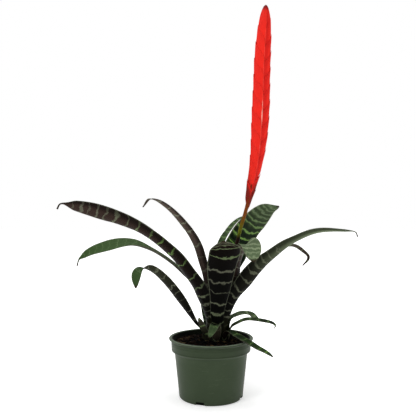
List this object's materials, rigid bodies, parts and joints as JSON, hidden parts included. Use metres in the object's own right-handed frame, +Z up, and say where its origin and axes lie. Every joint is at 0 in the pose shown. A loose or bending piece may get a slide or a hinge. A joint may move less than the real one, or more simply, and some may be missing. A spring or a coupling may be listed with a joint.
{
  "type": "potted bromeliad plant",
  "caption": "Flaming sword bromeliad with arching banded strap leaves and a flat red flower spike on a thin stalk, growing in a round plastic nursery pot.",
  "frame": {"origin": "centre of the pot's flat underside", "axes": "+Z up along the plant's height, -Y towards the viewer of the picture, +X to the viewer's right"},
  "size_m": [0.5068, 0.3476, 0.709],
  "materials": {
    "pot_plastic": "satin moulded plastic, dark sage green",
    "soil": "rough, moist bark and peat",
    "stem": "matte, pale green-brown",
    "leaf": "satin, dark green with near-black and pale green cross bands",
    "stalk": "satin, yellow-green to red-brown",
    "spike": "glossy, orange-red to deep red bracts"
  },
  "bodies": {
    "root": {"pot": "pot_plastic", "soil": "soil", "stem": "stem", "leaf_left_long": "leaf", "leaf_left_middle": "leaf", "leaf_left_low": "leaf", "leaf_left_upright": "leaf", "leaf_right_long": "leaf", "leaf_right_curl": "leaf", "leaf_front": "leaf", "leaf_front_drooping": "leaf", "leaf_back": "leaf", "leaf_back_left": "leaf", "leaf_right_low_upper": "leaf", "leaf_right_low_lower": "leaf", "leaf_right_over_rim": "leaf", "leaf_front_small": "leaf", "leaf_left_small": "leaf", "leaf_rear_right": "leaf", "leaf_rear_left": "leaf", "flower_stalk": "stalk", "flower_spike": "spike"}
  },
  "joints": []
}
